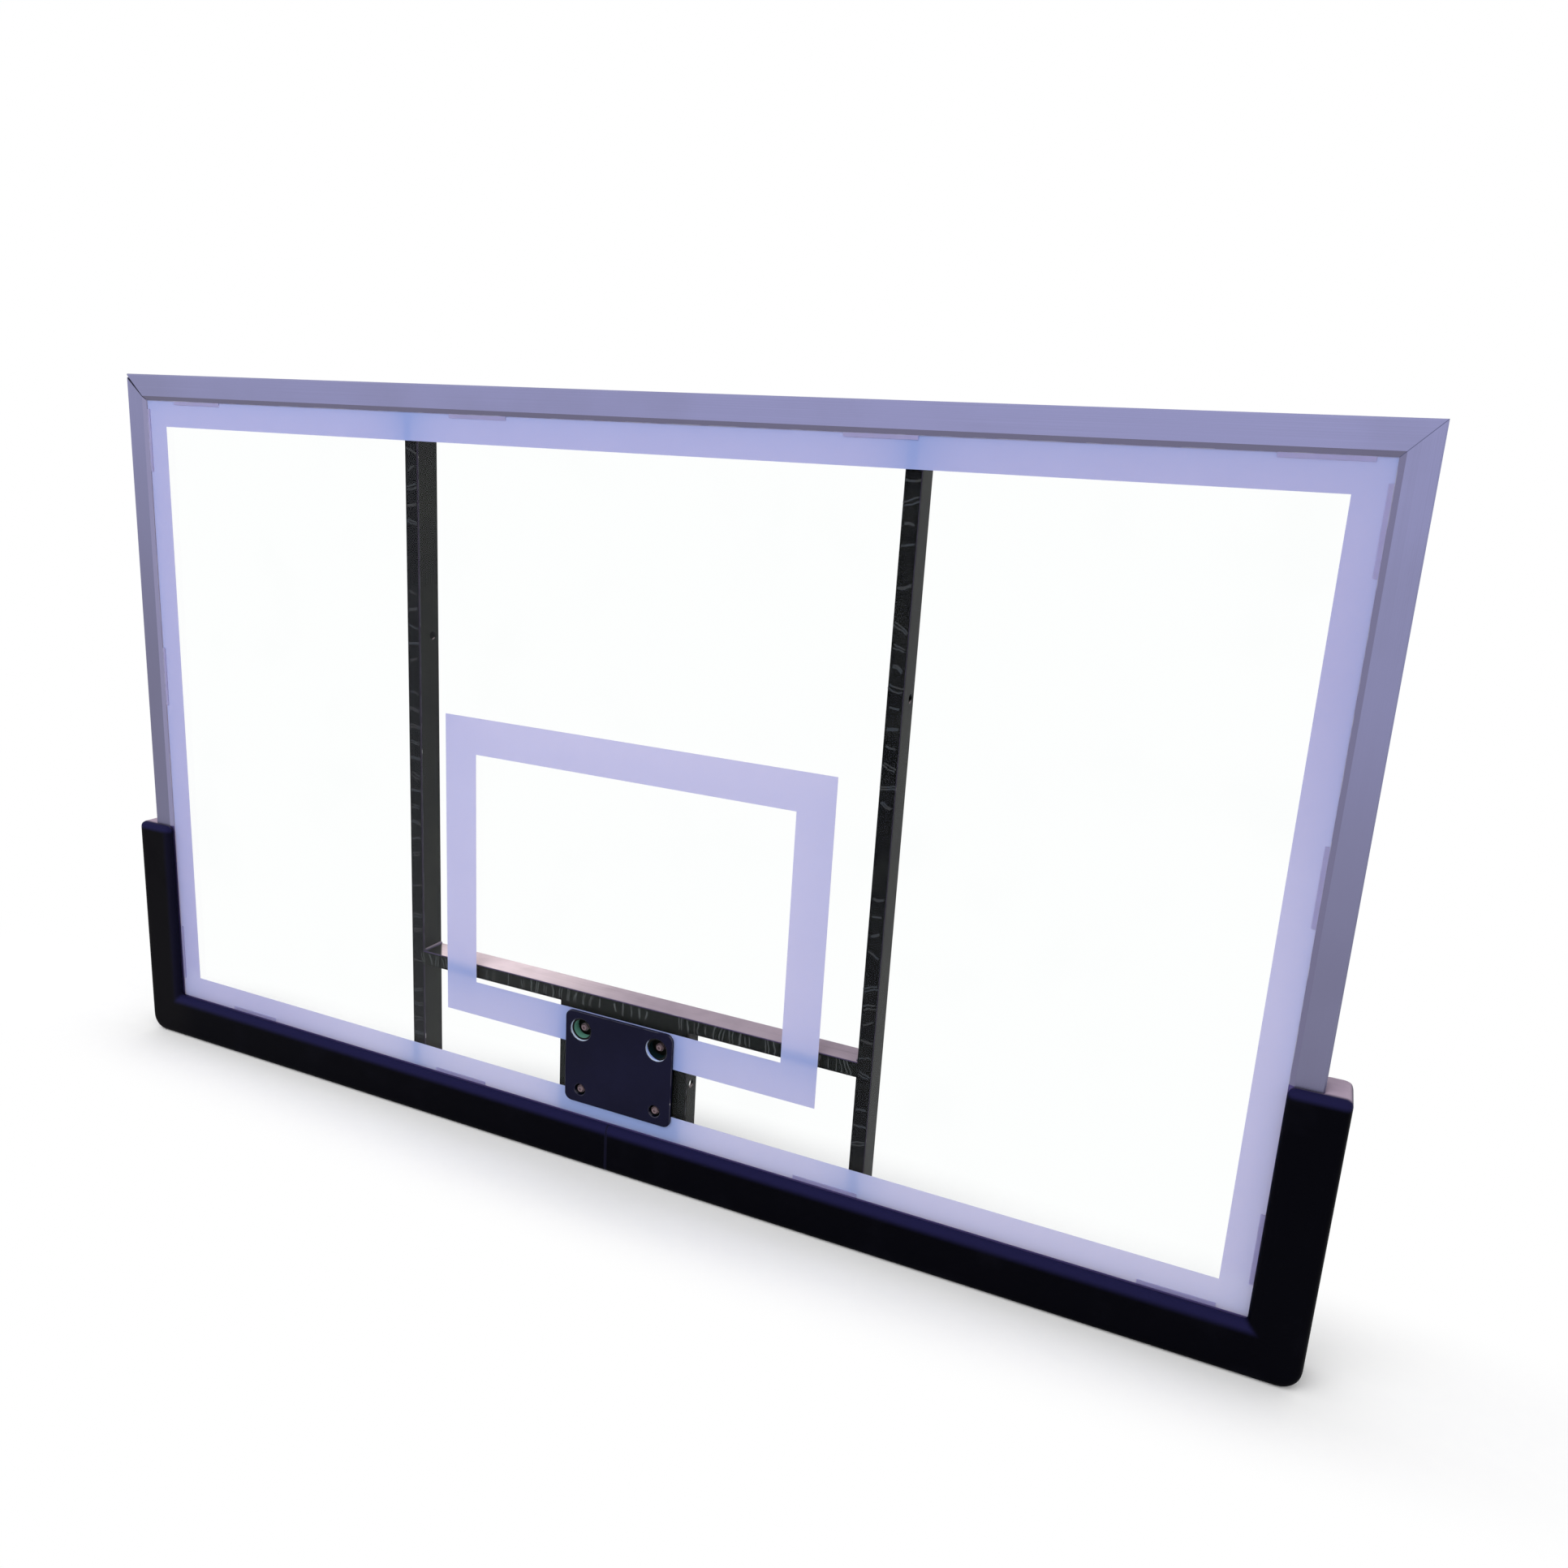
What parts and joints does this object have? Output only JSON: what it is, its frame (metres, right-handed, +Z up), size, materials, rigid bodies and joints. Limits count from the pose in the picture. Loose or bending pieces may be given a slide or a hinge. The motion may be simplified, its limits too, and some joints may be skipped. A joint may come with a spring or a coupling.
{
  "type": "basketball backboard",
  "caption": "Clear glass basketball backboard with white border and target, mitred aluminium frame, black steel rear frame, rim plate and moulded corner pads.",
  "frame": {"origin": "middle of the arm bolt hole through both flanges of the rim column, behind the glass", "axes": "+X across the board to the viewer's right, +Y backwards through the glass, +Z up"},
  "size_m": [1.86, 0.071, 1.085],
  "materials": {
    "frame_aluminium": "satin anodised",
    "key_aluminium": "black anodised",
    "zinc_steel": "zinc plated",
    "clear_glass": "polished",
    "white_print": "printed enamel",
    "black_rubber": "matt",
    "clear_plastic": "translucent",
    "black_steel": "powder coated",
    "foam_tape": "matt",
    "plate_steel": "satin powder coated",
    "pad_foam": "moulded skin"
  },
  "bodies": {
    "root": {"frame_bottom": "frame_aluminium", "frame_top": "frame_aluminium", "frame_left": "frame_aluminium", "frame_right": "frame_aluminium", "corner_keys": "key_aluminium", "corner_screws": "zinc_steel", "glass_panel": "clear_glass", "border_line": "white_print", "target_line": "white_print", "glazing_gaskets": "black_rubber", "glazing_packers": "clear_plastic", "setting_blocks": "black_rubber", "left_upright": "black_steel", "right_upright": "black_steel", "cross_bar": "black_steel", "rim_column": "black_steel", "weld_beads": "black_steel", "left_tape": "foam_tape", "right_tape": "foam_tape", "bar_tape": "foam_tape", "column_tape": "foam_tape", "upright_feet": "black_steel", "foot_screws": "zinc_steel", "rim_plate": "plate_steel", "rim_bolts": "zinc_steel", "rim_weld_nuts": "black_steel", "left_pad": "pad_foam", "right_pad": "pad_foam", "pad_screws": "zinc_steel", "pad_washers": "zinc_steel"}
  },
  "joints": []
}
